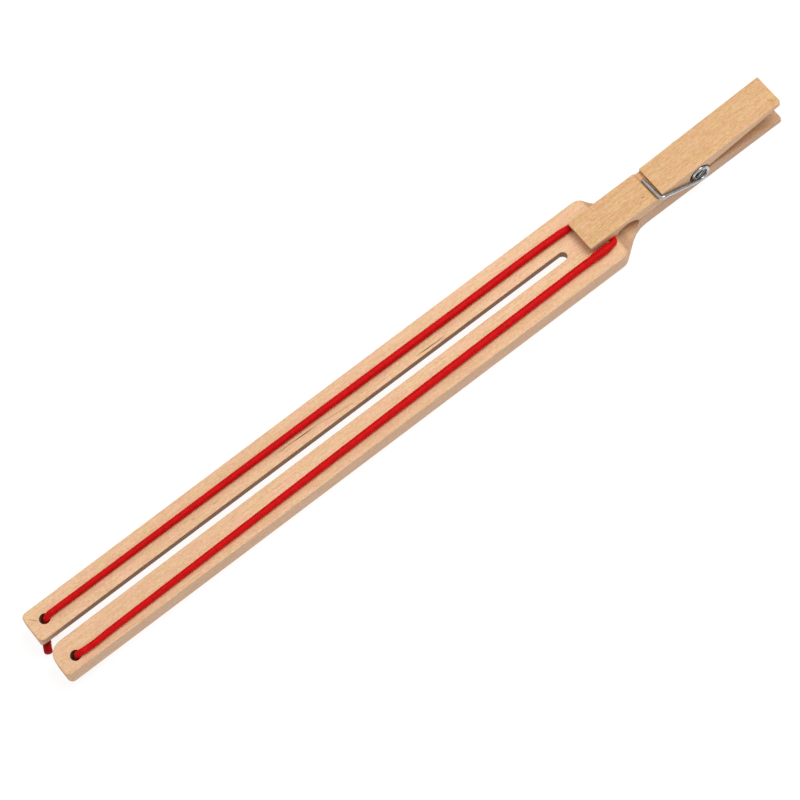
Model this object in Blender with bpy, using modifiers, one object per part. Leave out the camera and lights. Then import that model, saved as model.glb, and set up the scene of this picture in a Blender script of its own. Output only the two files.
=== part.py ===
"""A two-tined wooden loom with a sprung clip, in metres.

The wood lies flat: X runs along it from the tine tips to the handles, Y runs across it and Z points up.
Places along X are stations, measured from the tine tips, and heights are measured from the plank's underside.
The empty loom_frame carries both into the world, whose origin is under the middle of the object's box. It
tips the loom a little, because the loom lies on its two stopper knots and the lower handle's end.
"""

import math

import bmesh
import bpy
from mathutils import Matrix, Vector

# The frame
ORIGIN_STATION = 0.14450  # station of the world's origin
KNOT_REACH = 0.0046  # how far the stopper knots stand out below the plank's underside
KNOT_REST, HANDLE_REST = 0.0060, 0.2884  # the stations that the loom rests on
GAP = 0.0003  # clearance between pieces that meet
CONTACT_GAP = 0.0001  # clearance where the real pieces press on each other

# The plank: tines, shoulder, neck and lower handle
BODY_LENGTH = 0.2891
BODY_WIDTH = 0.0262
BODY_THICKNESS = 0.0065
EDGE_ROUND = 0.0007
SLOT_WIDTH = 0.0030
SLOT_END = 0.2059
TIP_OUTER_ROUND = 0.0019
TIP_INNER_ROUND_LEFT = 0.0023
TIP_INNER_ROUND_RIGHT = 0.0050
SHOULDER_STATION = 0.2197
SHOULDER_SLOPE = 0.774  # fall in half-width for each metre of length
SHOULDER_CORNER_ROUND = 0.0040
SHOULDER_NECK_ROUND = 0.0115
HANDLE_CORNER_ROUND = 0.0009
HOLE_DIAMETER = 0.0037
HOLE_LEFT = (0.0056, 0.0073)  # station, Y
HOLE_RIGHT = (0.0062, -0.0089)
# The V-shaped relief that widens the slot underneath
RELIEF_HEIGHT = 0.0040
RELIEF_FLARE = 0.0023

# The clip: both prongs share one width, set a little to the left of the plank's middle
PRONG_WIDTH = 0.0120
PRONG_MIDDLE_Y = 0.0004
PRONG_RIGHT_Y = PRONG_MIDDLE_Y - PRONG_WIDTH / 2
PRONG_LEFT_Y = PRONG_MIDDLE_Y + PRONG_WIDTH / 2
NECK_TOP = 0.0055
LOWER_TAPER_START = 0.2620
LOWER_END_HEIGHT = 0.0020

LEVER_START = 0.2120
LEVER_END = 0.2894
LEVER_FRONT_TOP = 0.0106
LEVER_STEP = 0.2409
LEVER_STEP_TOP = 0.0110
LEVER_END_TOP = 0.0130
LEVER_END_BOTTOM = 0.0113
LEVER_TAPER_HEIGHT = 0.0069
LEVER_BOTTOM = NECK_TOP + CONTACT_GAP
LEVER_NOSE_ROUND = 0.0004
LEVER_REAR_LEFT_ROUND = 0.0006
LEVER_REAR_RIGHT_ROUND = 0.0011
LEVER_EDGE_ROUND = 0.0002
NOSE_BOTTOM = 0.0093
PAD_BOTTOM = BODY_THICKNESS + GAP
PAD_START = 0.2146
WIRE_GROOVE_DEPTH = 0.0011
WIRE_GROOVE_START = 0.2382

# The half-round notches behind the jaw, which face each other
NOTCH_STATION = 0.2263
NOTCH_LOWER_CENTRE, NOTCH_LOWER_RADIUS = 0.0083, 0.0053
NOTCH_UPPER_CENTRE, NOTCH_UPPER_RADIUS = 0.0031, 0.0054
NOTCH_FRONT_ROUND = 0.0030  # the lower notch rolls into the plank's top over this radius
NOTCH_FRONT_RISE = 0.00001  # height of that arc's top over the plank's, so that the cut is clean

# The spring
COIL_STATION = 0.2561
COIL_HEIGHT = 0.0063
WIRE_RADIUS = 0.00063
COIL_MEAN_RADIUS = 0.0026
COIL_TURNS = 8.5
COIL_POINTS_PER_TURN = 16
SEAT_RADIUS = 0.0039  # the round seats in both prongs are wider than the coil, mostly ahead of it
SEAT_STATION = COIL_STATION - 0.0004
ARM_OVER_STATION = 0.2398
ARM_BEND = 0.0013  # radius of the bend where each arm leaves the prong's side to cross it
ARM_OVER_END_Y = 0.0030
ARM_UNDER_END_Y = -0.0022
UNDER_GROOVE_DEPTH = 0.0009

# The cord
CORD_RADIUS = 0.00115
CORD_RUN_HEIGHT = BODY_THICKNESS + CONTACT_GAP + CORD_RADIUS
CORD_HOLE_SHIFT = 0.00035  # the taut cord lies against the rear right side of its holes
CORD_PINCH = 0.55  # height of the pinched cord, as a share of its diameter
CORD_SEAT_BOTTOM = 0.0059
CORD_CROSSING_STATION = 0.2203
CORD_CROSSING_HEIGHT = CORD_SEAT_BOTTOM + CONTACT_GAP + CORD_PINCH * CORD_RADIUS
CORD_CROSSING_WIDTH = 0.0025
CORD_CROSSING_TOP = CORD_CROSSING_HEIGHT + CORD_PINCH * CORD_RADIUS + 0.00025
CORD_JAW_LEFT_Y = 0.0061
CORD_JAW_RIGHT_Y = -0.0075
CORD_ENTRY_WIDTH = 0.0034
CORD_ENTRY_TOP = 0.0085

# The stopper knots
KNOT_WIDTH = 0.0054
KNOT_RIGHT_SHIFT = 0.0005  # the right knot sits a little nearer the loom's middle than its hole
KNOT_HEIGHT = KNOT_REACH - GAP

WOOD = (0.80, 0.56, 0.32, 1.0)
LEVER_WOOD = (0.76, 0.49, 0.24, 1.0)
STEEL = (0.62, 0.62, 0.62, 1.0)
RED = (0.58, 0.01, 0.01, 1.0)


def clear_scene():
    for obj in list(bpy.data.objects):
        bpy.data.objects.remove(obj, do_unlink=True)


def make_collection(name):
    collection = bpy.data.collections.new(name)
    bpy.context.scene.collection.children.link(collection)
    return collection


clear_scene()
PARTS = make_collection("loom")
CUTTERS = make_collection("loom_cutters")


def make_empty(name, location, parent=None):
    empty = bpy.data.objects.new(name, None)
    empty.empty_display_size = 0.01
    empty.location = location
    empty.parent = parent
    PARTS.objects.link(empty)
    return empty


def make_material(name, colour, roughness, metallic=0.0):
    material = bpy.data.materials.new(name)
    material.use_nodes = True
    shader = material.node_tree.nodes["Principled BSDF"]
    shader.inputs["Base Color"].default_value = colour
    shader.inputs["Roughness"].default_value = roughness
    shader.inputs["Metallic"].default_value = metallic
    return material


def add_object(name, mesh, collection, parent, location=(0, 0, 0)):
    obj = bpy.data.objects.new(name, mesh)
    obj.location = location
    obj.parent = parent
    collection.objects.link(obj)
    return obj


def finish_part(obj, material):
    obj.data.materials.clear()
    obj.data.materials.append(material)
    obj.data.shade_smooth()
    obj.data.set_sharp_from_angle(angle=math.radians(35))


def make_cutter(name, mesh, location=(0, 0, 0)):
    cutter = add_object(name, mesh, CUTTERS, FRAME, location)
    cutter.hide_render = True
    cutter.display_type = "WIRE"
    return cutter


def cut(obj, cutter, operation="DIFFERENCE"):
    modifier = obj.modifiers.new(cutter.name, "BOOLEAN")
    modifier.operation = operation
    modifier.object = cutter


def bevel(obj, width, segments):
    modifier = obj.modifiers.new("edge_round", "BEVEL")
    modifier.width = width
    modifier.segments = segments
    modifier.limit_method = "ANGLE"
    modifier.angle_limit = math.radians(40)


def steps(start, end, pieces):
    return [start + (end - start) * k / pieces for k in range(pieces + 1)]


def rounded(corners, step=math.radians(15)):
    """The outline through (a, b, radius) corners, with each corner turned into an arc of its radius."""
    outline = []
    for index, (a, b, radius) in enumerate(corners):
        corner = Vector((a, b))
        before = Vector(corners[index - 1][:2])
        after = Vector(corners[(index + 1) % len(corners)][:2])
        into, out = (corner - before).normalized(), (after - corner).normalized()
        turn = into.angle_signed(out)
        if radius == 0 or abs(turn) < 1e-6:
            outline.append(corner)
            continue
        start = corner - into * radius * math.tan(abs(turn) / 2)
        side = math.copysign(1, turn)
        centre = start + Vector((into.y, -into.x)) * radius * side
        pieces = max(2, round(abs(turn) / step))
        for k in range(pieces + 1):
            swing = Matrix.Rotation(-turn * k / pieces, 2)
            outline.append(centre + swing @ (start - centre))
    return outline


def outline_mesh(name, outline, depth, edge=0.0):
    """A closed mesh of a flat outline, depth thick about its plane, with its rims rounded by edge."""
    curve = bpy.data.curves.new(name, "CURVE")
    curve.dimensions = "2D"
    curve.fill_mode = "BOTH"
    curve.extrude = depth / 2 - edge
    curve.bevel_depth = edge
    curve.bevel_resolution = 1
    curve.offset = -edge
    spline = curve.splines.new("POLY")
    spline.points.add(len(outline) - 1)
    for point, (a, b) in zip(spline.points, outline):
        point.co = (a, b, 0, 1)
    spline.use_cyclic_u = True
    return mesh_from_curve(name, curve)


def mesh_from_curve(name, curve):
    """The curve's mesh with its caps welded and each flat side made one face."""
    carrier = bpy.data.objects.new(name, curve)
    PARTS.objects.link(carrier)
    bpy.context.view_layer.update()
    graph = bpy.context.evaluated_depsgraph_get()
    mesh = bpy.data.meshes.new_from_object(carrier.evaluated_get(graph))
    bpy.data.objects.remove(carrier, do_unlink=True)
    bpy.data.curves.remove(curve)
    shape = bmesh.new()
    shape.from_mesh(mesh)
    bmesh.ops.remove_doubles(shape, verts=shape.verts, dist=1e-7)
    bmesh.ops.dissolve_limit(
        shape, angle_limit=math.radians(0.5), verts=shape.verts, edges=shape.edges
    )
    bmesh.ops.recalc_face_normals(shape, faces=shape.faces)
    if shape.calc_volume(signed=True) < 0:
        bmesh.ops.reverse_faces(shape, faces=shape.faces)
    shape.to_mesh(mesh)
    shape.free()
    return mesh


def side_profile_mesh(name, outline, width, middle_y, edge=0.0):
    """A mesh of a (station, height) outline, width wide across Y."""
    mesh = outline_mesh(name, outline, width, edge)
    mesh.transform(Matrix.Translation((0, middle_y, 0)) @ Matrix.Rotation(math.radians(90), 4, "X"))
    return mesh


def cylinder_mesh(name, radius, length, axis, segments=48):
    shape = bmesh.new()
    turn = Matrix.Rotation(math.radians(90), 4, "X") if axis == "Y" else Matrix.Identity(4)
    bmesh.ops.create_cone(
        shape, cap_ends=True, segments=segments, radius1=radius, radius2=radius, depth=length, matrix=turn
    )
    mesh = bpy.data.meshes.new(name)
    shape.to_mesh(mesh)
    shape.free()
    return mesh


def box_mesh(name, low, high):
    shape = bmesh.new()
    low, high = Vector(low), Vector(high)
    size = Matrix.Diagonal((high - low).to_4d())
    size[3][3] = 1
    bmesh.ops.create_cube(shape, size=1, matrix=Matrix.Translation((low + high) / 2) @ size)
    mesh = bpy.data.meshes.new(name)
    shape.to_mesh(mesh)
    shape.free()
    return mesh


def tube_mesh(name, points, radius, resolution=2):
    """A round tube with closed ends along a polyline."""
    curve = bpy.data.curves.new(name, "CURVE")
    curve.dimensions = "3D"
    curve.bevel_depth = radius
    curve.bevel_resolution = resolution
    curve.use_fill_caps = True
    spline = curve.splines.new("POLY")
    spline.points.add(len(points) - 1)
    for point, place in zip(spline.points, points):
        point.co = (*place, 1)
    return mesh_from_curve(name, curve)


def smooth_route(places, spacing):
    """Points about spacing apart on a smooth curve through the places, which may be unevenly spaced."""
    places = [Vector(place) for place in places]
    lengths = [(end - start).length for start, end in zip(places, places[1:])]
    slopes = [(end - start) / length for start, end, length in zip(places, places[1:], lengths)]
    inner = [
        (before * after_length + after * before_length) / (before_length + after_length)
        for before, after, before_length, after_length in zip(slopes, slopes[1:], lengths, lengths[1:])
    ]
    tangents = [slopes[0], *inner, slopes[-1]]
    route = []
    for start, end, leave, arrive, length in zip(places, places[1:], tangents, tangents[1:], lengths):
        pieces = max(1, round(length / spacing))
        for k in range(pieces):
            t = k / pieces
            route.append(
                start * (2 * t**3 - 3 * t**2 + 1)
                + leave * length * (t**3 - 2 * t**2 + t)
                + end * (3 * t**2 - 2 * t**3)
                + arrive * length * (t**3 - t**2)
            )
    route.append(places[-1])
    return route


def make_frame():
    tilt = math.atan(KNOT_REACH / (HANDLE_REST - KNOT_REST))
    frame = make_empty("loom_frame", (-ORIGIN_STATION, 0, HANDLE_REST * math.sin(tilt)))
    frame.rotation_euler.y = tilt
    return frame


FRAME = make_frame()


def body_outline():
    half = BODY_WIDTH / 2
    slot = SLOT_WIDTH / 2
    left_neck = SHOULDER_STATION + (half - PRONG_LEFT_Y) / SHOULDER_SLOPE
    right_neck = SHOULDER_STATION + (half + PRONG_RIGHT_Y) / SHOULDER_SLOPE
    return rounded(
        [
            (BODY_LENGTH, PRONG_RIGHT_Y, HANDLE_CORNER_ROUND),
            (BODY_LENGTH, PRONG_LEFT_Y, HANDLE_CORNER_ROUND),
            (left_neck, PRONG_LEFT_Y, SHOULDER_NECK_ROUND),
            (SHOULDER_STATION, half, SHOULDER_CORNER_ROUND),
            (0, half, TIP_OUTER_ROUND),
            (0, slot, TIP_INNER_ROUND_LEFT),
            (SLOT_END, slot, slot * 0.98),
            (SLOT_END, -slot, slot * 0.98),
            (0, -slot, TIP_INNER_ROUND_RIGHT),
            (0, -half, TIP_OUTER_ROUND),
            (SHOULDER_STATION, -half, SHOULDER_CORNER_ROUND),
            (right_neck, PRONG_RIGHT_Y, SHOULDER_NECK_ROUND),
        ]
    )


def lower_notch_outline():
    """The notch's circle, with a convex arc at its front that starts a hair above the plank's top."""
    radius, front = NOTCH_LOWER_RADIUS, NOTCH_FRONT_ROUND
    arc_height = BODY_THICKNESS + NOTCH_FRONT_RISE - front
    rise = NOTCH_LOWER_CENTRE - arc_height
    run = math.sqrt((radius + front) ** 2 - rise**2)
    meet = math.atan2(rise, run)  # from the front arc's centre to the notch's
    above = BODY_THICKNESS + 0.002
    front_arc = [
        Vector((NOTCH_STATION - run + front * math.sin(turn), arc_height + front * math.cos(turn)))
        for turn in steps(0, math.pi / 2 - meet, 6)
    ]
    circle = [
        Vector((NOTCH_STATION + radius * math.sin(turn), NOTCH_LOWER_CENTRE - radius * math.cos(turn)))
        for turn in steps(meet - math.pi / 2, math.radians(75), 18)
    ]
    start, end = front_arc[0], circle[-1]
    return [Vector((start.x, above)), *front_arc, *circle[1:], Vector((end.x, above))]


def clip_cutters():
    """The clip's cuts in the plank: notch, lowered neck, handle taper, coil seat and wire groove."""
    across = BODY_WIDTH + 0.01
    yield make_cutter("lower_notch", side_profile_mesh("lower_notch", lower_notch_outline(), across, 0))
    above = BODY_THICKNESS + 0.002
    past_end = BODY_LENGTH + 0.003
    end_fall = (NECK_TOP - LOWER_END_HEIGHT) * 0.003 / (BODY_LENGTH - LOWER_TAPER_START)
    neck = [
        (NOTCH_STATION, above),
        (NOTCH_STATION, NECK_TOP),
        (LOWER_TAPER_START, NECK_TOP),
        (past_end, LOWER_END_HEIGHT - end_fall),
        (past_end, above),
    ]
    yield make_cutter("neck_top", side_profile_mesh("neck_top", neck, across, 0))
    seat = cylinder_mesh("lower_coil_seat", SEAT_RADIUS, across, "Y")
    yield make_cutter("lower_coil_seat", seat, (SEAT_STATION, 0, COIL_HEIGHT))
    groove = [
        (LEVER_STEP, -0.002),
        (LEVER_STEP, UNDER_GROOVE_DEPTH),
        (ARM_OVER_STATION - WIRE_RADIUS, UNDER_GROOVE_DEPTH),
        (WIRE_GROOVE_START - 0.0005, -0.0002),
        (WIRE_GROOVE_START - 0.0005, -0.002),
    ]
    reach = PRONG_LEFT_Y + 0.002 - (ARM_UNDER_END_Y - 0.0015)
    middle = PRONG_LEFT_Y + 0.002 - reach / 2
    yield make_cutter("under_groove", side_profile_mesh("under_groove", groove, reach, middle))


def relief_cutters():
    """The V-shaped relief along the slot's underside, with a conical end as its milling bit leaves."""
    half, below = SLOT_WIDTH / 2, 0.001
    slope = RELIEF_FLARE / RELIEF_HEIGHT
    top, bottom = half - 0.0001, half + RELIEF_FLARE + slope * below
    end = SLOT_END - half - 0.0006
    corners = ((top, RELIEF_HEIGHT), (bottom, -below), (-bottom, -below), (-top, RELIEF_HEIGHT))
    groove = outline_mesh("slot_relief", [Vector(corner) for corner in corners], end + 0.005)
    groove.transform(Matrix.Rotation(math.radians(90), 4, "Z") @ Matrix.Rotation(math.radians(90), 4, "X"))
    yield make_cutter("slot_relief", groove, ((end - 0.005) / 2, 0, 0))
    shape = bmesh.new()
    bmesh.ops.create_cone(
        shape, cap_ends=True, segments=32, radius1=bottom, radius2=top, depth=RELIEF_HEIGHT + below
    )
    cone = bpy.data.meshes.new("slot_relief_end")
    shape.to_mesh(cone)
    shape.free()
    yield make_cutter("slot_relief_end", cone, (end, 0, (RELIEF_HEIGHT - below) / 2))


def cord_cutters():
    """The two cord holes, and the shallow seat that the pinched cord lies in under the jaw."""
    for side, (station, y) in (("left", HOLE_LEFT), ("right", HOLE_RIGHT)):
        hole = cylinder_mesh(f"hole_{side}", HOLE_DIAMETER / 2, 0.02, "Z", 32)
        yield make_cutter(f"hole_{side}", hole, (station, y, BODY_THICKNESS / 2))
    left, width = CORD_JAW_LEFT_Y + CORD_ENTRY_WIDTH / 2, CORD_ENTRY_WIDTH
    front = CORD_CROSSING_STATION - CORD_CROSSING_WIDTH / 2
    back, right = CORD_CROSSING_STATION + CORD_CROSSING_WIDTH / 2, PRONG_RIGHT_Y - 0.0018
    seat = [
        (LEVER_START + 0.0003, left - width, 0),
        (front, left - width, 0.0006),
        (front, right, 0.0006),
        (back, right, 0),
        (back, left, 0),
        (LEVER_START + 0.0003, left, 0),
    ]
    depth = 0.004
    mesh = outline_mesh("cord_seat", rounded(seat), depth)
    yield make_cutter("cord_seat", mesh, (0, 0, CORD_SEAT_BOTTOM + depth / 2))


def make_body(material):
    mesh = outline_mesh("loom_body", body_outline(), BODY_THICKNESS)
    mesh.transform(Matrix.Translation((0, 0, BODY_THICKNESS / 2)))
    body = add_object("loom_body", mesh, PARTS, FRAME)
    bevel(body, EDGE_ROUND, 2)
    for cutter in (*clip_cutters(), *relief_cutters(), *cord_cutters()):
        cut(body, cutter)
    finish_part(body, material)


def arch(station, height, radius, start_height, end_height, pieces=20):
    """Corners over the top of a circle, from one height on its low side to another on its far side."""
    start = math.pi - math.asin((start_height - height) / radius)
    end = math.asin((end_height - height) / radius)
    return [
        (station + radius * math.cos(turn), height + radius * math.sin(turn), 0)
        for turn in steps(start, end, pieces)
    ]


def lever_outline():
    """The lever's side as (station, height), from the nose back underneath and forward on top."""
    groove_floor = LEVER_FRONT_TOP - WIRE_GROOVE_DEPTH
    return rounded(
        [
            (LEVER_START, NOSE_BOTTOM, 0),
            (PAD_START - 0.0018, PAD_BOTTOM + 0.0007, 0.002),
            (PAD_START, PAD_BOTTOM, 0.002),
            *arch(NOTCH_STATION, NOTCH_UPPER_CENTRE, NOTCH_UPPER_RADIUS, PAD_BOTTOM, LEVER_BOTTOM),
            *arch(SEAT_STATION, COIL_HEIGHT, SEAT_RADIUS, LEVER_BOTTOM, LEVER_TAPER_HEIGHT),
            (LEVER_END, LEVER_END_BOTTOM, 0),
            (LEVER_END, LEVER_END_TOP, 0),
            (LEVER_STEP, LEVER_STEP_TOP, 0),
            (LEVER_STEP, groove_floor, 0),
            (ARM_OVER_STATION - WIRE_RADIUS, groove_floor, 0.0005),
            (WIRE_GROOVE_START, LEVER_FRONT_TOP, 0.0005),
            (LEVER_START, LEVER_FRONT_TOP, 0),
        ]
    )


def lever_plan():
    """The lever seen from above, which rounds its four upright corners."""
    return make_cutter(
        "lever_plan",
        outline_mesh(
            "lever_plan",
            rounded(
                [
                    (LEVER_START, PRONG_RIGHT_Y, LEVER_NOSE_ROUND),
                    (LEVER_END, PRONG_RIGHT_Y, LEVER_REAR_RIGHT_ROUND),
                    (LEVER_END, PRONG_LEFT_Y, LEVER_REAR_LEFT_ROUND),
                    (LEVER_START, PRONG_LEFT_Y, LEVER_NOSE_ROUND),
                ]
            ),
            0.04,
        ),
    )


def channel_cutters():
    """The channel under the jaw that holds the cord: a rebate at its left edge, then a groove across."""
    ahead, left = LEVER_START - 0.002, CORD_JAW_LEFT_Y - CORD_ENTRY_WIDTH / 2
    front = CORD_CROSSING_STATION - CORD_CROSSING_WIDTH / 2
    back = CORD_CROSSING_STATION + CORD_CROSSING_WIDTH / 2
    outside = PRONG_LEFT_Y + 0.002
    for name, low, high, top in (
        ("cord_entry", (ahead, left), (front + 0.0012, outside), CORD_ENTRY_TOP),
        ("cord_crossing", (front, PRONG_RIGHT_Y - 0.002), (back, outside), CORD_CROSSING_TOP),
    ):
        yield make_cutter(name, box_mesh(name, (*low, PAD_BOTTOM - 0.002), (*high, top)))


def make_lever(material, pivot):
    outline = lever_outline()
    mesh = side_profile_mesh("clip_lever", outline, PRONG_WIDTH, PRONG_MIDDLE_Y, LEVER_EDGE_ROUND)
    mesh.transform(Matrix.Translation((-COIL_STATION, 0, -COIL_HEIGHT)))
    lever = add_object("clip_lever", mesh, PARTS, pivot)
    cut(lever, lever_plan(), "INTERSECT")
    for cutter in channel_cutters():
        cut(lever, cutter)
    finish_part(lever, material)


def tangent_angle(station, height, upper):
    """The angle on the coil, from +X towards +Z, where a straight arm from this place touches it."""
    dx, dz = station - COIL_STATION, height - COIL_HEIGHT
    towards = math.atan2(dz, dx)
    swing = math.acos(COIL_MEAN_RADIUS / math.hypot(dx, dz))
    return towards - swing if upper else towards + swing


def arm_bend(y, inward, height):
    """Places round the level bend of an arm, from where it crosses the prong to where it runs beside it."""
    return [
        Vector(
            (
                ARM_OVER_STATION + ARM_BEND * (1 - math.cos(turn)),
                y + inward * ARM_BEND * (1 - math.sin(turn)),
                height,
            )
        )
        for turn in steps(0, math.pi / 2, 5)
    ]


def spring_route():
    """The wire's centre line: over the lever, down its right side, round the coil, and under the neck."""
    beside_right = PRONG_RIGHT_Y - CONTACT_GAP - WIRE_RADIUS
    beside_left = PRONG_LEFT_Y + CONTACT_GAP / 2 + WIRE_RADIUS
    over = LEVER_FRONT_TOP - WIRE_GROOVE_DEPTH + CONTACT_GAP + WIRE_RADIUS
    under = UNDER_GROOVE_DEPTH - CONTACT_GAP - WIRE_RADIUS
    over_arm = [(ARM_OVER_STATION - 0.0003, ARM_OVER_END_Y, over), *arm_bend(beside_right, 1, over)]
    under_arm = [(ARM_OVER_STATION - 0.0003, ARM_UNDER_END_Y, under), *arm_bend(beside_left, -1, under)]
    start = tangent_angle(over_arm[-1].x, over, upper=False)
    end = tangent_angle(under_arm[-1].x, under, upper=True)
    turned = (end - start) % math.tau + math.tau * math.floor(COIL_TURNS)
    count = round(turned / math.tau * COIL_POINTS_PER_TURN)
    coil = [
        (
            COIL_STATION + COIL_MEAN_RADIUS * math.cos(start + turned * share),
            beside_right + (beside_left - beside_right) * share,
            COIL_HEIGHT + COIL_MEAN_RADIUS * math.sin(start + turned * share),
        )
        for share in steps(0, 1, count)
    ]
    return over_arm + coil + under_arm[::-1]


def make_spring(material):
    mesh = tube_mesh("clip_spring", spring_route(), WIRE_RADIUS)
    finish_part(add_object("clip_spring", mesh, PARTS, FRAME), material)


def cord_route():
    """The cord's centre line, from the left knot over the wood, under the jaw and back to the right knot."""
    turn = 0.0017  # radius of the turns under the jaw
    crossing, low = CORD_CROSSING_STATION, CORD_CROSSING_HEIGHT
    left, right = CORD_JAW_LEFT_Y, CORD_JAW_RIGHT_Y
    high = CORD_RUN_HEIGHT
    x_l, y_l = HOLE_LEFT[0] + CORD_HOLE_SHIFT, HOLE_LEFT[1] - CORD_HOLE_SHIFT
    x_r, y_r = HOLE_RIGHT[0] + CORD_HOLE_SHIFT, HOLE_RIGHT[1] - CORD_HOLE_SHIFT
    return smooth_route(
        [
            (x_l, y_l, 0.0),
            (x_l, y_l, 0.0025),
            (x_l, y_l, 0.0060),
            (x_l + 0.0005, y_l, 0.0073),
            (x_l + 0.0015, 0.00700, high + 0.00015),
            (x_l + 0.0038, 0.00705, high + 0.0001),
            (0.0200, 0.00705, high),
            (0.0700, 0.00690, high),
            (0.1650, 0.00640, high),
            (0.2070, left + 0.0001, high),
            (0.2100, left, high),
            (0.2125, left, low + 0.0011),
            (0.2147, left, low + 0.0003),
            (0.2165, left, low),
            (crossing - turn, left, low),
            (crossing - 0.29 * turn, left - 0.29 * turn, low),
            (crossing, left - turn, low),
            (crossing, PRONG_MIDDLE_Y, low),
            (crossing, PRONG_RIGHT_Y + 0.0008, low),
            (crossing - 0.05 * turn, right + 0.9 * turn, low + 0.0004),
            (crossing - 0.40 * turn, right + 0.22 * turn, high - 0.0002),
            (crossing - 1.2 * turn, right, high),
            (0.2070, right - 0.0001, high),
            (0.1650, -0.00800, high),
            (0.0700, -0.00912, high),
            (0.0200, -0.00972, high),
            (x_r + 0.0038, -0.00990, high + 0.0001),
            (x_r + 0.0015, -0.00972, high + 0.00015),
            (x_r + 0.0005, y_r, 0.0073),
            (x_r, y_r, 0.0060),
            (x_r, y_r, 0.0025),
            (x_r, y_r, 0.0),
        ],
        0.0045,
    )


def pinch(mesh):
    """Flattens the cord where the jaw holds it."""
    for vertex in mesh.vertices:
        x, y, z = vertex.co
        if y > PRONG_MIDDLE_Y:
            ahead = (x - (LEVER_START - 0.0020)) / 0.0030
        else:
            ahead = (x - (CORD_CROSSING_STATION - 0.0024)) / 0.0012
        inside = (y - (PRONG_RIGHT_Y - 0.0016)) / 0.0014
        hold = max(0.0, min(1.0, ahead, inside))
        share = 1 - (1 - CORD_PINCH) * hold
        vertex.co.z = CORD_CROSSING_HEIGHT + (z - CORD_CROSSING_HEIGHT) * share if hold else z


def make_cord(material):
    mesh = tube_mesh("cord", cord_route(), CORD_RADIUS)
    pinch(mesh)
    finish_part(add_object("cord", mesh, PARTS, FRAME), material)


def make_knot(name, place, tail, material):
    """A stopper knot under the plank, with the cord's cut tail joined to it."""
    station, y = place
    shape = bmesh.new()
    bmesh.ops.create_uvsphere(
        shape,
        u_segments=20,
        v_segments=12,
        radius=0.5,
        matrix=Matrix.Diagonal((KNOT_WIDTH, KNOT_WIDTH, KNOT_HEIGHT, 1)),
    )
    mesh = bpy.data.meshes.new(name)
    shape.to_mesh(mesh)
    shape.free()
    middle = Vector((station, y, -GAP - KNOT_HEIGHT / 2))
    knot = add_object(name, mesh, PARTS, FRAME, middle)
    route = smooth_route([middle, *tail], 0.0012)
    end = make_cutter(f"{name}_tail", tube_mesh(f"{name}_tail", route, CORD_RADIUS * 0.98))
    modifier = knot.modifiers.new("tail", "BOOLEAN")
    modifier.operation = "UNION"
    modifier.object = end
    finish_part(knot, material)


def main():
    pivot = make_empty("clip_pivot", (COIL_STATION, 0, COIL_HEIGHT), FRAME)
    red = make_material("cord_red", RED, 0.7)
    make_body(make_material("beech", WOOD, 0.55))
    make_lever(make_material("beech_lever", LEVER_WOOD, 0.55), pivot)
    make_spring(make_material("spring_steel", STEEL, 0.3, metallic=1.0))
    make_cord(red)
    left_tail = [(0.0022, 0.0050, -0.0026), (0.0005, 0.0014, -0.0030)]
    right_tail = [(0.0098, -0.0078, -0.0026), (0.0122, -0.0070, -0.0032)]
    make_knot("knot_left", HOLE_LEFT, left_tail, red)
    make_knot("knot_right", (HOLE_RIGHT[0], HOLE_RIGHT[1] + KNOT_RIGHT_SHIFT), right_tail, red)


main()
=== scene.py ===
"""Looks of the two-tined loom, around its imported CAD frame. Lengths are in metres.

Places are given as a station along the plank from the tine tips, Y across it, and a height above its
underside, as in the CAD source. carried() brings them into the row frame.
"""

import math

import bmesh
import bpy
import numpy as np
from mathutils import Matrix, Vector


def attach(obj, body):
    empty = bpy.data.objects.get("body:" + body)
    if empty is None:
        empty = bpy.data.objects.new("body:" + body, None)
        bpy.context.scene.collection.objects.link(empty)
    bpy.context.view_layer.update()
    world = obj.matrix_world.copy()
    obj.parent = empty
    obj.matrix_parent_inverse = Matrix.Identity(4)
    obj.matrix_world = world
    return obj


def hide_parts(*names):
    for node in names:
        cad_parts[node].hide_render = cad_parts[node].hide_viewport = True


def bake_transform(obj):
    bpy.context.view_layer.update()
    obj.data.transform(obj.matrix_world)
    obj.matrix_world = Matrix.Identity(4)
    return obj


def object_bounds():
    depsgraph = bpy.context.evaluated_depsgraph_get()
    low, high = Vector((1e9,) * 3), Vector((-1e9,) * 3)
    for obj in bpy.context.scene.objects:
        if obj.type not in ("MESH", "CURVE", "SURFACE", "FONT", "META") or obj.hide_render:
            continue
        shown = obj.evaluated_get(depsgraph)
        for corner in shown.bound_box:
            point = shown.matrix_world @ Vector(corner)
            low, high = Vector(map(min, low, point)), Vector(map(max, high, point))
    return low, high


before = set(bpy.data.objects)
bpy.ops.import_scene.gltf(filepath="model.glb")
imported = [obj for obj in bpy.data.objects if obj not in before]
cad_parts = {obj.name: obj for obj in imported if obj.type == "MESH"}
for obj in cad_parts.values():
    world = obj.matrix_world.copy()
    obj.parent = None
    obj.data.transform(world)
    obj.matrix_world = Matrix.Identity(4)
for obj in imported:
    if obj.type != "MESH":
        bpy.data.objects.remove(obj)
CAD_BOX = [list(corner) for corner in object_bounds()]

# The CAD's own dimensions that the new pieces follow
ORIGIN_STATION = 0.14450  # station of the row frame's origin
KNOT_REACH = 0.0046  # how far the stopper knots stand out below the plank's underside
KNOT_REST, HANDLE_REST = 0.0060, 0.2884  # the stations that the loom rests on
TILT = math.atan(KNOT_REACH / (HANDLE_REST - KNOT_REST))
REST_HEIGHT = HANDLE_REST * math.sin(TILT)
BODY_THICKNESS = 0.0065
CONTACT_GAP = 0.0001
LEVER_START = 0.2120
PRONG_RIGHT_Y, PRONG_LEFT_Y, PRONG_MIDDLE_Y = -0.0056, 0.0064, 0.0004

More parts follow.
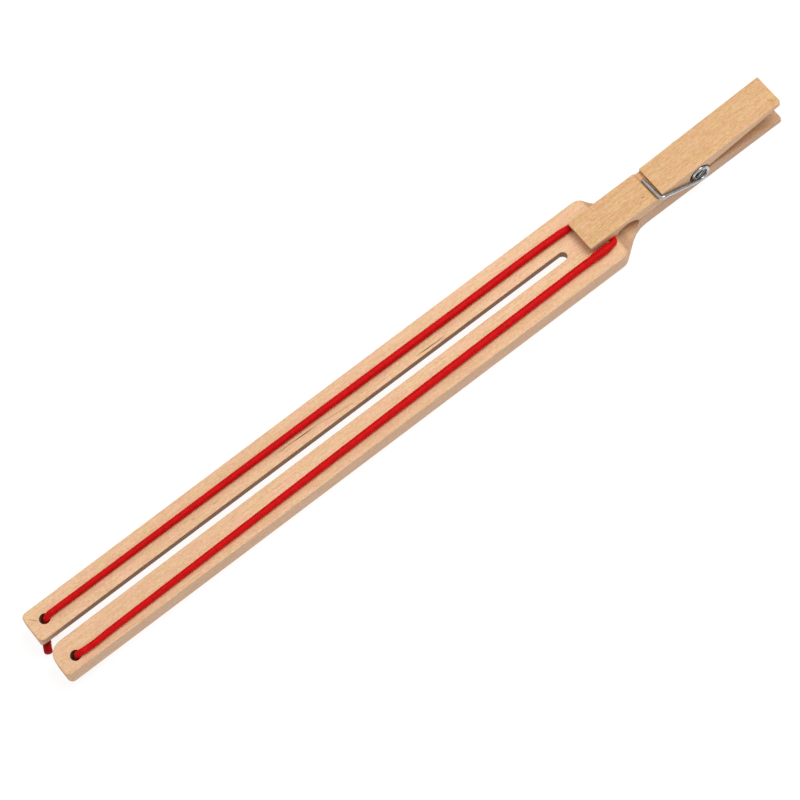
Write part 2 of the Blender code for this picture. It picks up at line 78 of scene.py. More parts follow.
COIL = (0.2561, 0.0063)  # station, height
COIL_MEAN_RADIUS = 0.0026
COIL_TURNS = 8.5
WIRE_RADIUS = 0.00063
ARM_STATION = 0.2398  # where both arms cross their prongs
ARM_BEND = 0.0013  # radius of the bend where each arm leaves the prong's side to cross it
ARM_OVER_FLOOR, ARM_UNDER_FLOOR = 0.0095, 0.0009  # heights of the grooves that the arms lie in
ARM_OVER_END_Y, ARM_UNDER_END_Y = 0.0030, -0.0022

CORD_RADIUS = 0.00115
CORD_PINCH = 0.55  # height of the pinched cord, as a share of its diameter
CORD_HOLE_SHIFT = 0.00035  # the taut cord lies against the rear right side of its holes
CORD_RUN_HEIGHT = BODY_THICKNESS + CONTACT_GAP + CORD_RADIUS
CORD_SEAT_BOTTOM = 0.0059
CORD_CROSSING = (0.2203, CORD_SEAT_BOTTOM + CONTACT_GAP + CORD_PINCH * CORD_RADIUS)  # station, height
CORD_JAW_LEFT_Y, CORD_JAW_RIGHT_Y = 0.0061, -0.0075
HOLES = {"left": (0.0056, 0.0073), "right": (0.0062, -0.0089)}  # station, Y
KNOTS = {"left": (0.0056, 0.0073), "right": (0.0062, -0.0084)}  # the right knot sits off its hole

FRAME_MATRIX = Matrix.Translation((-ORIGIN_STATION, 0, REST_HEIGHT)) @ Matrix.Rotation(TILT, 4, "Y")
FRAME_NUMPY = np.array(FRAME_MATRIX)


def carried(points):
    """An array of places, carried into the row frame."""
    return points @ FRAME_NUMPY[:3, :3].T + FRAME_NUMPY[:3, 3]


# ---------------------------------------------------------------- shader nodes


class Nodes:
    """Short calls for one material's node tree."""

    def __init__(self, name):
        self.material = bpy.data.materials.new(name)
        self.material.use_nodes = True
        self.tree = self.material.node_tree
        self.shader = self.tree.nodes["Principled BSDF"]

    def new(self, kind, **settings):
        node = self.tree.nodes.new(kind)
        for key, value in settings.items():
            setattr(node, key, value)
        return node

    def put(self, socket, value):
        if isinstance(value, bpy.types.NodeSocket):
            self.tree.links.new(value, socket)
        else:
            socket.default_value = value

    def math(self, operation, *values):
        node = self.new("ShaderNodeMath", operation=operation)
        for socket, value in zip(node.inputs, values):
            self.put(socket, value)
        return node.outputs[0]

    def weighted(self, *pairs):
        """The sum of (value, weight) pairs."""
        (value, weight), *rest = pairs
        total = self.math("MULTIPLY", value, weight)
        for value, weight in rest:
            total = self.math("MULTIPLY_ADD", value, weight, total)
        return total

    def mix(self, share, a, b, blend="MIX"):
        node = self.new("ShaderNodeMix", data_type="RGBA", blend_type=blend)
        self.put(node.inputs[0], share)
        self.put(node.inputs[6], a)
        self.put(node.inputs[7], b)
        return node.outputs[2]

    def span(self, value, low, high, to_low=0.0, to_high=1.0, smooth=False):
        """The value's range low to high, mapped to to_low to to_high and held there beyond it."""
        node = self.new("ShaderNodeMapRange", interpolation_type="SMOOTHSTEP" if smooth else "LINEAR")
        for socket, given in zip(node.inputs, (value, low, high, to_low, to_high)):
            self.put(socket, given)
        return node.outputs[0]

    def scaled(self, vector, scale, location=(0, 0, 0)):
        node = self.new("ShaderNodeMapping")
        self.put(node.inputs["Vector"], vector)
        node.inputs["Scale"].default_value = scale
        node.inputs["Location"].default_value = location
        return node.outputs[0]

    def noise(self, vector, scale=1.0, detail=3.0, roughness=0.5, distortion=0.0):
        node = self.new("ShaderNodeTexNoise")
        self.put(node.inputs["Vector"], vector)
        node.inputs["Scale"].default_value = scale
        node.inputs["Detail"].default_value = detail
        node.inputs["Roughness"].default_value = roughness
        node.inputs["Distortion"].default_value = distortion
        return node.outputs[0]

    def cells(self, vector):
        node = self.new("ShaderNodeTexVoronoi", feature="F1")
        self.put(node.inputs["Vector"], vector)
        node.inputs["Scale"].default_value = 1.0
        return node

    def bump(self, height, distance, strength):
        node = self.new("ShaderNodeBump")
        node.inputs["Strength"].default_value = strength
        node.inputs["Distance"].default_value = distance
        self.put(node.inputs["Height"], height)
        return node.outputs[0]


def srgb(text, alpha=1.0):
    """The linear colour of a #rrggbb text."""
    parts = [int(text[k : k + 2], 16) / 255 for k in (1, 3, 5)]
    return (*(c / 12.92 if c <= 0.04045 else ((c + 0.055) / 1.055) ** 2.4 for c in parts), alpha)


def plank_space(n):
    """(vector, x, y, z) in the plank's own axes: station, across and height."""
    coords = n.new("ShaderNodeTexCoord")
    turn = n.new("ShaderNodeMapping", vector_type="POINT")
    n.put(turn.inputs["Vector"], coords.outputs["Object"])
    inverse = FRAME_MATRIX.inverted()
    turn.inputs["Location"].default_value = inverse.translation
    turn.inputs["Rotation"].default_value = inverse.to_euler()
    split = n.new("ShaderNodeSeparateXYZ")
    n.put(split.inputs[0], turn.outputs[0])
    return turn.outputs[0], *split.outputs


def streak(n, x, y, first, last, half, wobble):
    """A mask for a thin mark between two (station, y) places, fading at both ends."""
    (x0, y0), (x1, y1) = first, last
    reach = math.hypot(x1 - x0, y1 - y0)
    ux, uy = (x1 - x0) / reach, (y1 - y0) / reach
    dx, dy = n.math("SUBTRACT", x, x0), n.math("SUBTRACT", y, y0)
    along = n.math("ADD", n.math("MULTIPLY", dx, ux), n.math("MULTIPLY", dy, uy))
    off = n.math("SUBTRACT", n.math("MULTIPLY", dy, ux), n.math("MULTIPLY", dx, uy))
    off = n.math("ADD", off, wobble)
    across = n.span(n.math("ABSOLUTE", off), half * 0.3, half, 1, 0, smooth=True)
    fade = reach / 3
    rise = n.span(along, 0, fade, 0, 1, smooth=True)
    fall = n.span(along, reach - fade, reach, 1, 0, smooth=True)
    return n.math("MULTIPLY", across, n.math("MULTIPLY", rise, fall))


PINK_TINT, YELLOW_TINT = (1.0, 0.955, 0.985, 1), (0.965, 1.0, 0.910, 1)
COOL_SHADE = (0.94, 0.95, 0.97, 1)
FLECK_BROWN, PORE_BROWN = srgb("#a5703f"), srgb("#9a6a3e")
END_GRAIN_PALE, END_GRAIN_DARK = srgb("#c99a6b"), srgb("#94663c")
# The colour of the painted shade in the plank's slot, holes and notch and under the lever
RECESS_SHADE_BROWN = srgb("#4c2008")


def painted_recess_shade(n, x, y, z, facing):
    """How much painted shade darkens the plank's hidden faces: the slot's and holes' walls, the notch, and
    under the lever.
    """
    slot_fade, hole_fade = (0.0019, 0.0028), (0.0020, 0.0024)  # distances from the middle of each
    hole_share = 2.3  # how dark a hole's wall is, against the slot's
    tip_stations, wall_darkness = (0.0015, 0.0120), (0.20, 0.54)  # the painted shade on the walls is lighter at the tips
    notch_start, neck_heights = (0.2190, 0.2235), (0.0056, 0.0068)
    front_stations, front_darkness = (0.2243, 0.2264), (0.30, 0.09)
    inside_stations, inside_darkness = (0.2272, 0.2310), (0, 0.22)
    upright = n.span(n.math("ABSOLUTE", facing[2]), 0.35, 0.75, 1, 0, smooth=True)
    walls = n.span(n.math("ABSOLUTE", y), *slot_fade, 1, 0, smooth=True)
    for hole_x, hole_y in HOLES.values():
        across, along = n.math("SUBTRACT", y, hole_y), n.math("SUBTRACT", x, hole_x)
        away = n.math("SQRT", n.math("ADD", n.math("POWER", across, 2.0), n.math("POWER", along, 2.0)))
        walls = n.math("MAXIMUM", walls, n.span(away, *hole_fade, hole_share, 0))
    walls = n.math("MULTIPLY", n.math("MULTIPLY", walls, upright), n.span(x, *tip_stations, *wall_darkness))
    behind = n.span(x, *notch_start, smooth=True)
    below = n.span(z, *neck_heights, 1, 0, smooth=True)
    notch = n.math("MULTIPLY", behind, below)
    front = n.span(x, *front_stations, *front_darkness, smooth=True)
    inside = n.span(x, *inside_stations, *inside_darkness, smooth=True)
    upward = n.span(facing[2], -0.4, 0.35, smooth=True)
    clip = n.math("MULTIPLY", n.math("MULTIPLY", notch, upward), n.math("ADD", front, inside))
    return n.math("MAXIMUM", walls, clip)


def beech_grain(n, vector, pale, deep, seed):
    """(colour, fine grain, relief) of sanded beech: short grain over faint bands, with flecks and pores."""
    bands = n.noise(n.scaled(vector, (9, 230, 260), (seed, 3, 1)), detail=4, roughness=0.55, distortion=0.25)
    fine = n.noise(n.scaled(vector, (160, 1500, 1500), (seed, 1, 4)), detail=3, roughness=0.65)
    short = n.noise(n.scaled(vector, (850, 2300, 2300), (seed, 6, 4)), detail=2, roughness=0.6)
    mottle = n.noise(n.scaled(vector, (220, 540, 540), (seed, 8, 2)), detail=2)
    broad = n.noise(n.scaled(vector, (14, 60, 60), (seed, 7, 2)), detail=2)
    pores = n.noise(n.scaled(vector, (450, 3600, 3600), (seed, 5, 4)), detail=1)
    # Ray flecks: small cells stretched along the grain, of which only a few are dark
    cell = n.cells(n.scaled(vector, (620, 1900, 1900), (seed, 2, 7)))
    inside = n.span(cell.outputs["Distance"], 0.16, 0.42, 1, 0, smooth=True)
    chosen = n.math("GREATER_THAN", n.noise(n.scaled(cell.outputs["Color"], (7, 7, 7)), detail=0), 0.52)
    flecks = n.math("MULTIPLY", inside, chosen)
    tone = n.weighted((short, 0.48), (fine, 0.32), (bands, 0.20))
    colour = n.mix(n.span(tone, 0.42, 0.58), pale, deep)
    tinted = n.mix(n.span(mottle, 0.36, 0.64, smooth=True), PINK_TINT, YELLOW_TINT)
    colour = n.mix(1.0, colour, tinted, "MULTIPLY")
    shaded = n.mix(1.0, deep, COOL_SHADE, "MULTIPLY")
    colour = n.mix(n.span(broad, 0.3, 0.7, 0, 0.35), colour, shaded)
    colour = n.mix(n.math("MULTIPLY", flecks, 0.16), colour, FLECK_BROWN)
    colour = n.mix(n.span(pores, 0.6, 0.75, 0, 0.16), colour, PORE_BROWN)
    return colour, fine, n.weighted((pores, 0.3), (short, 0.2), (fine, 0.5))


def cut_faces(n, vector, colour, side_shade_tint, facing, seed):
    """The colour, with the sides that face across greyer and darker, partly their sawn grain and partly
    painted shade, and the end grain darker.
    """
    # Painted shade in part: faces that point across the plank take the greyer, darker side tint
    side = n.span(n.math("ABSOLUTE", facing[1]), 0.5, 0.95, 0, 0.40, smooth=True)
    colour = n.mix(side, colour, side_shade_tint)
    end_grain = n.span(n.math("ABSOLUTE", facing[0]), 0.55, 0.95, 0, 0.45, smooth=True)
    dots = n.noise(n.scaled(vector, (600, 2600, 2600), (seed, 9, 9)), detail=2)
    return n.mix(end_grain, colour, n.mix(n.span(dots, 0.4, 0.65), END_GRAIN_PALE, END_GRAIN_DARK))


def marked(n, space, colour, marks, seed):
    """The colour, with darker streaks at the marks, broken up along the grain and fainter on the sides."""
    vector, x, y, z = space
    warp = n.noise(n.scaled(vector, (40, 90, 90), (seed, 0, 0)), detail=2)
    wobble = n.math("MULTIPLY", n.math("SUBTRACT", warp, 0.5), 0.0007)
    for first, last, half, strength, tint in marks:
        mask = streak(n, x, y, first, last, half, wobble)
        grain = n.noise(n.scaled(vector, (160, 900, 900), (seed + first[0] * 50, 0, 0)), detail=2)
        broken = n.span(grain, 0.34, 0.56, 0.45, 1)
        top = n.span(z, 0.0, BODY_THICKNESS * 0.9, 0.3, 1)
        mask = n.math("MULTIPLY", n.math("MULTIPLY", mask, broken), n.math("MULTIPLY", top, strength))
        colour = n.mix(mask, colour, srgb(tint))
    return colour


def make_beech(name, pale, deep, side_shade_tint, seed, marks, paint_recess_shade=False):
    """Sanded beech, with a few darker marks, and optionally painted shade on the plank's inner faces: the
    slot's and holes' walls, the notch and under the lever.
    """
    n = Nodes(name)
    space = plank_space(n)
    vector, x, y, z = space
    colour, fine, relief = beech_grain(n, vector, pale, deep, seed)
    normal = n.new("ShaderNodeSeparateXYZ")
    n.put(normal.inputs[0], n.new("ShaderNodeTexCoord").outputs["Normal"])
    colour = cut_faces(n, vector, colour, side_shade_tint, normal.outputs, seed)
    # Painted shade in the slot, the holes and the notch and under the lever
    if paint_recess_shade:
        colour = n.mix(painted_recess_shade(n, x, y, z, normal.outputs), colour, RECESS_SHADE_BROWN)
    colour = marked(n, space, colour, marks, seed)
    n.put(n.shader.inputs["Base Color"], colour)
    n.put(n.shader.inputs["Roughness"], n.span(fine, 0.3, 0.7, 0.58, 0.72))
    n.shader.inputs["Specular IOR Level"].default_value = 0.30
    n.put(n.shader.inputs["Normal"], n.bump(relief, 0.00005, 0.55))
    return n.material


# ---------------------------------------------------------------- geometry


def smooth_route(places, spacing):
    """Points about spacing apart on a smooth curve through the places, which may be unevenly spaced."""
    places = np.array(places, float)
    steps = np.diff(places, axis=0)
    lengths = np.linalg.norm(steps, axis=1)[:, None]
    slopes = steps / lengths
    inner = (slopes[:-1] * lengths[1:] + slopes[1:] * lengths[:-1]) / (lengths[:-1] + lengths[1:])
    tangents = np.concatenate([slopes[:1], inner, slopes[-1:]])
    route = []
    for start, end, leave, arrive, length in zip(places, places[1:], tangents, tangents[1:], lengths):
        pieces = max(1, round(length[0] / spacing))
        t = np.arange(pieces)[:, None] / pieces
        route.append(
            start * (2 * t**3 - 3 * t**2 + 1)
            + leave * length * (t**3 - 2 * t**2 + t)
            + end * (3 * t**2 - 2 * t**3)
            + arrive * length * (t**3 - t**2)
        )
    return np.concatenate([*route, places[-1:]])


def resampled(line, step):
    """The line with evenly spaced points, and each one's distance along it."""
    along = np.concatenate([[0], np.cumsum(np.linalg.norm(np.diff(line, axis=0), axis=1))])
    at = np.linspace(0, along[-1], max(2, round(along[-1] / step) + 1))
    return np.stack([np.interp(at, along, line[:, k]) for k in range(3)], axis=1), at


def frames_along(line, first=(0.0, 0.0, 1.0)):
    """(tangents, sides, ups) that turn as little as they can along a line."""
    tangents = np.gradient(line, axis=0)
    tangents /= np.linalg.norm(tangents, axis=1)[:, None]
    ups = np.zeros_like(line)
    up = np.array(first, float)
    if abs(up @ tangents[0]) > 0.95:
        up = np.array((0.0, 1.0, 0.0))
    for k, tangent in enumerate(tangents):
        up = up - (up @ tangent) * tangent
        up /= np.linalg.norm(up)
        ups[k] = up
    return tangents, np.cross(tangents, ups), ups


def tube(name, rings, height=None):
    """A closed mesh from an array of rings (count, segments, 3), with pointed caps at both ends.

    height, one value for each point of the rings, becomes the attribute "braid".
    """
    count, segments, _ = rings.shape
    points = rings.reshape(-1, 3)
    tips = np.stack([rings[0].mean(0), rings[-1].mean(0)])
    points = np.concatenate([points, tips])
    faces = []
    for k in range(count - 1):
        a, b = k * segments, (k + 1) * segments
        faces += [(a + s, a + (s + 1) % segments, b + (s + 1) % segments, b + s) for s in range(segments)]
    last = (count - 1) * segments
    faces += [((s + 1) % segments, s, count * segments) for s in range(segments)]
    faces += [(last + s, last + (s + 1) % segments, count * segments + 1) for s in range(segments)]
    mesh = bpy.data.meshes.new(name)
    mesh.from_pydata(points.tolist(), [], faces)
    if height is not None:
        attribute = mesh.attributes.new("braid", "FLOAT", "POINT")
        values = np.concatenate([height.reshape(-1), [height[0].mean(), height[-1].mean()]])
        attribute.data.foreach_set("value", values.astype(np.float32))
    mesh.shade_smooth()
    obj = bpy.data.objects.new(name, mesh)
    bpy.context.scene.collection.objects.link(obj)
    shape = bmesh.new()
    shape.from_mesh(mesh)
    bmesh.ops.recalc_face_normals(shape, faces=shape.faces)
    if shape.calc_volume(signed=True) < 0:
        bmesh.ops.reverse_faces(shape, faces=shape.faces)
    shape.to_mesh(mesh)
    shape.free()
    return obj


STRANDS, LEAD = 8, 0.0088  # strands each way, and the length in which one goes once round
STRAND_NARROWING, CROSSING_RISE = 0.96, 0.55
BRAID_MEAN_HEIGHT, BRAID_RELIEF = 0.72, 0.00011
FRAY_LENGTH, FRAY_END, FRAY_GROWTH = 0.00055, 0.45, 0.58  # the last two are shares of the cord's radius


def braid(turn, along):
    """A plain braid's height, up to 1, at an angle round the cord, in turns, and a distance along it."""
    u, v = STRANDS * (turn - along / LEAD), STRANDS * (turn + along / LEAD)
    i, j = np.round(u), np.round(v)
    over_u, over_v = np.cos(np.pi * (v + i)), -np.cos(np.pi * (u + j))
    crown_u = np.sqrt(np.maximum(0, 1 - (2 * (u - i) * STRAND_NARROWING) ** 2))
    crown_v = np.sqrt(np.maximum(0, 1 - (2 * (v - j) * STRAND_NARROWING) ** 2))
    height = np.maximum(crown_u + CROSSING_RISE * over_u, crown_v + CROSSING_RISE * over_v)
    return height / (1 + CROSSING_RISE)


def braided(name, line, radius, step=0.00016, segments=32, pinch=None, frayed_end=False):
    """A braided cord along a line in plank places, and its line in the row frame.

    radius(line, share) gives each point's radius from its place and its share of the way along.
    pinch(points) moves the surface's points. frayed_end rounds off the last end.
    """
    line, along = resampled(line, step)
    _, sides, ups = frames_along(line)
    turn = np.arange(segments) / segments
    angle = turn * math.tau
    height = braid(turn[None, :], along[:, None])
    reach = radius(line, along / along[-1])[:, None] + (height - BRAID_MEAN_HEIGHT) * BRAID_RELIEF
    if frayed_end:
        to_end = np.clip((along[-1] - along) / FRAY_LENGTH, 0, 1)
        reach = reach * (FRAY_END + np.sqrt(to_end) * FRAY_GROWTH)[:, None]
    rings = line[:, None] + reach[..., None] * (
        np.cos(angle)[None, :, None] * sides[:, None] + np.sin(angle)[None, :, None] * ups[:, None]
    )
    if pinch is not None:
        rings = pinch(rings)
    rings = carried(rings.reshape(-1, 3)).reshape(rings.shape)
    return tube(name, rings, height), carried(line)


def make_cord_red(name, shade_factor=1.0):
    """Braided elastic, with painted shade on the low parts between the yarns and fine fibres lying along
    each. The darkening factor paints shade over all of it, for cord that lies in shadow.
    """
    n = Nodes(name)
    height = n.new("ShaderNodeAttribute", attribute_name="braid").outputs["Fac"]
    coords = n.new("ShaderNodeTexCoord").outputs["Object"]
    fibre = n.noise(n.scaled(coords, (6000, 6000, 6000)), detail=3, roughness=0.6)
    patches = n.noise(n.scaled(coords, (650, 650, 650)), detail=3)
    # Painted shade between the yarns: the low parts of the braid are darker
    deep = n.span(height, 0.25, 0.95, smooth=True)
    colour = n.mix(deep, srgb("#990204"), srgb("#da0508"))
    colour = n.mix(n.span(patches, 0.40, 0.65, 0, 0.6), colour, srgb("#a80204"))
    colour = n.mix(n.span(fibre, 0.45, 0.75, 0, 0.25), colour, srgb("#de0a0e"))
    # Painted shade over all of it, for cord that lies in shadow
    colour = n.mix(1.0, colour, (shade_factor, shade_factor, shade_factor, 1), "MULTIPLY")
    n.put(n.shader.inputs["Base Color"], colour)
    n.shader.inputs["Roughness"].default_value = 0.5
    n.shader.inputs["Specular IOR Level"].default_value = 0.10
    n.put(n.shader.inputs["Normal"], n.bump(fibre, 0.00003, 0.4))
    return n.material


def make_steel(name):
    """Bright zinc-plated wire, with the fine lines that drawing leaves along it."""
    n = Nodes(name)
    coords = n.new("ShaderNodeTexCoord").outputs["Object"]
    grain = n.noise(n.scaled(coords, (2500, 2500, 2500)), detail=3)
    cloud = n.noise(n.scaled(coords, (500, 500, 500)), detail=2)
    n.put(n.shader.inputs["Base Color"], n.mix(n.span(cloud, 0.35, 0.65), srgb("#cacacb"), srgb("#a8a9ac")))
    n.shader.inputs["Metallic"].default_value = 1.0
    n.put(n.shader.inputs["Roughness"], n.span(grain, 0.3, 0.7, 0.12, 0.24))
    n.put(n.shader.inputs["Normal"], n.bump(grain, 0.000012, 0.25))
    return n.material


def cord_line():
    """The cord's centre line, from knot to knot, as its CAD solid's."""
    turn = 0.0017  # radius of the turns under the jaw
    left, right, high = CORD_JAW_LEFT_Y, CORD_JAW_RIGHT_Y, CORD_RUN_HEIGHT
    crossing, low = CORD_CROSSING
    x_l, y_l = HOLES["left"][0] + CORD_HOLE_SHIFT, HOLES["left"][1] - CORD_HOLE_SHIFT
    x_r, y_r = HOLES["right"][0] + CORD_HOLE_SHIFT, HOLES["right"][1] - CORD_HOLE_SHIFT
    return smooth_route(
        [
            (x_l, y_l, 0.0),
            (x_l, y_l, 0.0025),
            (x_l, y_l, 0.0060),
            (x_l + 0.0005, y_l, 0.0073),
            (x_l + 0.0015, 0.00700, high + 0.00015),
            (x_l + 0.0038, 0.00705, high + 0.0001),
            (0.0200, 0.00705, high),
            (0.0700, 0.00690, high),
            (0.1650, 0.00640, high),
            (0.2070, left + 0.0001, high),
            (0.2100, left, high),
            (0.2125, left, low + 0.0011),
            (0.2147, left, low + 0.0003),
            (0.2165, left, low),
            (crossing - turn, left, low),
            (crossing - 0.29 * turn, left - 0.29 * turn, low),
            (crossing, left - turn, low),
            (crossing, PRONG_MIDDLE_Y, low),
            (crossing, PRONG_RIGHT_Y + 0.0008, low),
            (crossing - 0.05 * turn, right + 0.9 * turn, low + 0.0004),
            (crossing - 0.40 * turn, right + 0.22 * turn, high - 0.0002),
            (crossing - 1.2 * turn, right, high),
            (0.2070, right - 0.0001, high),
            (0.1650, -0.00800, high),
            (0.0700, -0.00912, high),
            (0.0200, -0.00972, high),
            (x_r + 0.0038, -0.00990, high + 0.0001),
            (x_r + 0.0015, -0.00972, high + 0.00015),
            (x_r + 0.0005, y_r, 0.0073),
            (x_r, y_r, 0.0060),
            (x_r, y_r, 0.0025),
            (x_r, y_r, 0.0),
        ],
        0.0002,
    )


def ramp(value, start, length):
    """0 up to start, rising to 1 over the length."""
    return np.clip((value - start) / length, 0, 1)


def run_radius(line, _share=None):
    """The cord's radius: thinner where it is drawn over the tips, fuller towards the jaw, and exact in it."""
    thin, growth = 0.00108, 0.00020
    jaw_left, jaw_right = 0.2090, 0.2165  # the stations where each run begins to be held
    station = line[:, 0]
    loose = thin + growth * ramp(station, 0.040, 0.100)
    held = ramp(station, np.where(line[:, 1] > 0, jaw_left, jaw_right), 0.0025)
    return loose + (CORD_RADIUS - loose) * held


def lifted(line):
    """The line, moved so that the cord of run_radius lies on the wood as one of CORD_RADIUS would."""
    line = line.copy()
    line[:, 2] += run_radius(line) - CORD_RADIUS
    return line


def pinched(rings):
    """The cord flattened under the jaw, as its CAD solid is."""
    spread_start, spread_end, spread_share = 0.2105, 0.2185, 0.40
    crossing, low = CORD_CROSSING
    x, y, z = rings[..., 0], rings[..., 1], rings[..., 2]
    ahead_left = (x - (LEVER_START - 0.0020)) / 0.0030
    ahead_right = (x - (crossing - 0.0024)) / 0.0012
    ahead = np.where(y > PRONG_MIDDLE_Y, ahead_left, ahead_right)
    inside = (y - (PRONG_RIGHT_Y - 0.0016)) / 0.0014
    share = 1 - (1 - CORD_PINCH) * np.clip(np.minimum(ahead, inside), 0, 1)
    # Beside the jaw the cord spreads towards the lever
    spread = ramp(x, spread_start, 0.0015) * np.clip((spread_end - x) / 0.0025, 0, 1)
    inner = np.clip(y - CORD_JAW_RIGHT_Y, 0, 2 * CORD_RADIUS) * (y < PRONG_RIGHT_Y)
    rings = rings.copy()
    rings[..., 1] = y + spread_share * inner * spread
    rings[..., 2] = low + (z - low) * share
    return rings


KNOT_HEIGHT = -0.00245  # height of a knot's middle, below the plank
KNOT_CORD_RADIUS, TAIL_GROWTH = 0.00098, 0.00036  # the cord is drawn thin in the knot, and its tail is loose


def make_knot(side, tail, turn, material):
    """A stopper knot, as an overhand knot of the same cord, and its tail. turn is its angle, in radians."""
    start = HOLES[side][0] + CORD_HOLE_SHIFT, HOLES[side][1] - CORD_HOLE_SHIFT
    centre = np.array((*KNOTS[side], KNOT_HEIGHT))
    # A trefoil, opened where its two ends lead off
    wide, lobe, rise, opening = 0.00115, 0.00074, 0.00100, 0.30
    t = np.linspace(opening, math.tau - opening, 40)
    ring = wide + lobe * np.cos(3 * t)
    loops = centre + np.stack(
        [
            ring * np.cos(2 * t + turn),
            ring * np.sin(2 * t + turn),
            rise * np.sin(3 * t),
        ],
        axis=1,
    )
    between = (start[0] + KNOTS[side][0]) / 2, (start[1] + KNOTS[side][1]) / 2
    places = [(*start, 0.0012), (*between, -0.0002), *loops.tolist(), *tail]
    line = smooth_route(places, 0.0002)
    total = np.linalg.norm(np.diff(line, axis=0), axis=1).sum()

    def radius(_line, share):
        loose = np.clip((share * total - (total - 0.0060)) / 0.002, 0, 1)
        return KNOT_CORD_RADIUS + TAIL_GROWTH * loose

    knot, _ = braided(f"knot_{side}_tied", line, radius, 0.00015, 24, frayed_end=True)
    knot.data.materials.append(material)
    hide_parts(f"knot_{side}")
    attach(knot, "frame")
    return knot


COIL_STEPS_PER_TURN = 48


def tangent_angle(station, height, upper):
    """The angle round the coil where a straight arm from (station, height) meets it."""
    dx, dz = station - COIL[0], height - COIL[1]
    towards, swing = math.atan2(dz, dx), math.acos(COIL_MEAN_RADIUS / math.hypot(dx, dz))
    return towards - swing if upper else towards + swing


def arm_bend(y, inward, height):
    """Places round the level bend of an arm, from where it crosses the prong to where it runs beside it."""
    turn = np.linspace(0, math.pi / 2, 13)
    return np.stack(
        [
            ARM_STATION + ARM_BEND * (1 - np.cos(turn)),
            y + inward * ARM_BEND * (1 - np.sin(turn)),
            np.full_like(turn, height),
        ],
        axis=1,
    )


def spring_line():
    """The wire's centre line: over the lever, down its right side, round the coil, and under the neck."""
    beside_right = PRONG_RIGHT_Y - CONTACT_GAP - WIRE_RADIUS
    beside_left = PRONG_LEFT_Y + CONTACT_GAP / 2 + WIRE_RADIUS
    over = ARM_OVER_FLOOR + CONTACT_GAP + WIRE_RADIUS
    under = ARM_UNDER_FLOOR - CONTACT_GAP - WIRE_RADIUS
    over_arm = arm_bend(beside_right, 1, over)
    under_arm = arm_bend(beside_left, -1, under)
    start = tangent_angle(over_arm[-1, 0], over, False)
    end = tangent_angle(under_arm[-1, 0], under, True)
    turned = (end - start) % math.tau + math.tau * math.floor(COIL_TURNS)
    share = np.linspace(0, 1, round(turned / math.tau * COIL_STEPS_PER_TURN) + 1)
    angle = start + turned * share
    coil = np.stack(
        [
            COIL[0] + COIL_MEAN_RADIUS * np.cos(angle),
            beside_right + (beside_left - beside_right) * share,
            COIL[1] + COIL_MEAN_RADIUS * np.sin(angle),
        ],
        axis=1,
    )
    over_end = [(ARM_STATION - 0.0003, ARM_OVER_END_Y, over)]
    under_end = [(ARM_STATION - 0.0003, ARM_UNDER_END_Y, under)]
    return np.concatenate([over_end, over_arm, coil, under_arm[::-1], under_end])


def make_spring(material):
    """The spring's wire, coiled between the two prongs, as one unmoving mesh."""
    line, along = resampled(spring_line(), 0.0003)
    _, sides, ups = frames_along(line, (1.0, 0.0, 0.0))
    segments = 20
    angle = np.arange(segments) / segments * math.tau
    edge = np.minimum(along, along[-1] - along)
    reach = WIRE_RADIUS * np.where(edge < 1e-6, 0.80, 1.0)  # the cut ends are a little chamfered
    rings = line[:, None] + reach[:, None, None] * (
        np.cos(angle)[None, :, None] * sides[:, None] + np.sin(angle)[None, :, None] * ups[:, None]
    )
    spring = tube("spring_wire", carried(rings.reshape(-1, 3)).reshape(rings.shape))
    spring.data.materials.append(material)
    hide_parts("clip_spring")
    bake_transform(spring)
    return spring


# ---------------------------------------------------------------- stage


def make_stage():
    """A white floor that gives off most of its own light, so that shadows on it stay faint."""
    n = Nodes("floor_white")
    n.shader.inputs["Base Color"].default_value = (0.16, 0.16, 0.16, 1)
    n.shader.inputs["Roughness"].default_value = 0.9
    n.shader.inputs["Specular IOR Level"].default_value = 0.0
    n.shader.inputs["Emission Color"].default_value = (1, 1, 1, 1)
    n.shader.inputs["Emission Strength"].default_value = 0.88
    mesh = bpy.data.meshes.new("floor")
    half = 3.0
    corners = [(-half, -half, 0), (half, -half, 0), (half, half, 0), (-half, half, 0)]
    mesh.from_pydata(corners, [], [(0, 1, 2, 3)])
    floor = bpy.data.objects.new("floor", mesh)
    floor.location.z = CAD_BOX[0][2] - 0.00002  # just clear of the lowest face, so that the two don't flicker
    floor.data.materials.append(n.material)
    bpy.context.scene.collection.objects.link(floor)


def make_world():
    """A studio that is brighter overhead than at its walls."""
    world = bpy.data.worlds.new("studio")
    bpy.context.scene.world = world
    world.use_nodes = True
    tree = world.node_tree
    coords = tree.nodes.new("ShaderNodeTexCoord")
    slope = tree.nodes.new("ShaderNodeVectorMath")
    slope.operation = "DOT_PRODUCT"
    slope.inputs[1].default_value = (0.0, 0.02, 0.50)  # how much brighter towards +X, +Y and overhead
    level = tree.nodes.new("ShaderNodeMath")
    level.operation = "ADD"
    level.inputs[1].default_value = 0.32  # brightness at the horizon
    tree.links.new(coords.outputs["Generated"], slope.inputs[0])
    tree.links.new(slope.outputs["Value"], level.inputs[0])
    tree.links.new(level.outputs[0], tree.nodes["Background"].inputs["Strength"])
    tree.nodes["Background"].inputs["Color"].default_value = (1, 1, 1, 1)


def make_key_light():
    """One broad soft light, nearly overhead, towards the handle and a little to the loom's right."""
    direction, distance = Vector((0.42, -0.10, 1.0)).normalized(), 1.2
    light = bpy.data.lights.new("key", "AREA")
    light.shape, light.size, light.energy = "DISK", 0.70, 7.5
    key = bpy.data.objects.new("key", light)
    key.location = direction * distance
    key.rotation_euler = direction.to_track_quat("Z", "Y").to_euler()
    bpy.context.scene.collection.objects.link(key)


